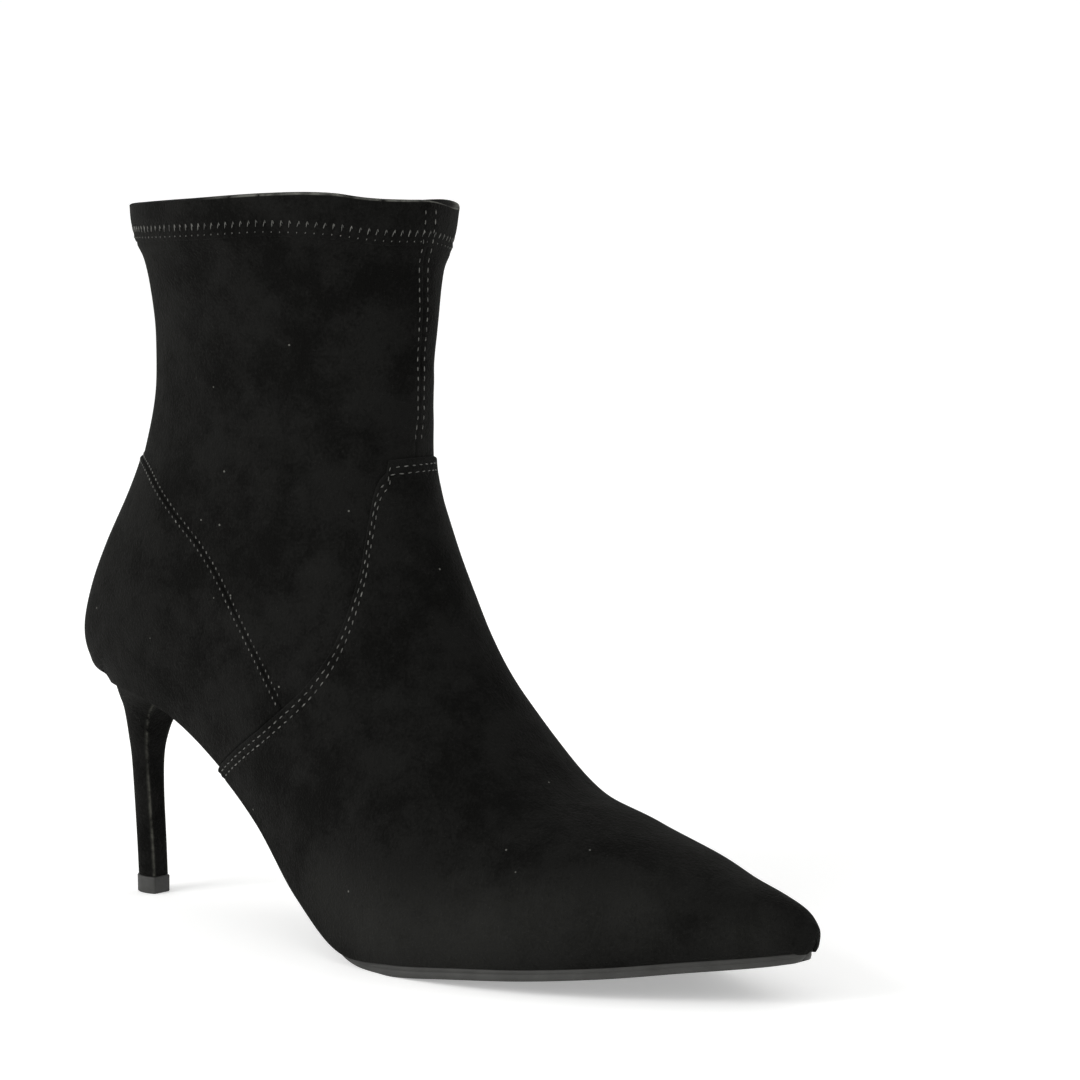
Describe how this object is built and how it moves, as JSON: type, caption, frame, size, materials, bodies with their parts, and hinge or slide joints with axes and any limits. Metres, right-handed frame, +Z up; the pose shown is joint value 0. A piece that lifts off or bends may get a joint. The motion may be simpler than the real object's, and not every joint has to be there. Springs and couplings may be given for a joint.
{
  "type": "stiletto ankle bootie",
  "caption": "Right ankle bootie with a pointed toe, close stretch shaft with a folded collar band, stepped vamp, thin sole and a slim stiletto heel.",
  "frame": {"origin": "middle of the heel's ground face, on the floor", "axes": "+X from the heel to the toe, +Y to the wearer's left, the medial side, +Z up"},
  "size_m": [0.2529, 0.0827, 0.2072],
  "materials": {
    "suede": "matte black microfibre suede with a short nap",
    "lining": "plain dark textile lining",
    "rubber": "matte dark grey rubber"
  },
  "bodies": {
    "root": {"upper": "suede", "vamp": "suede", "counter": "suede", "collar_band": "suede", "heel": "suede", "insole": "lining", "outsole": "rubber", "top_piece": "rubber"}
  },
  "joints": []
}
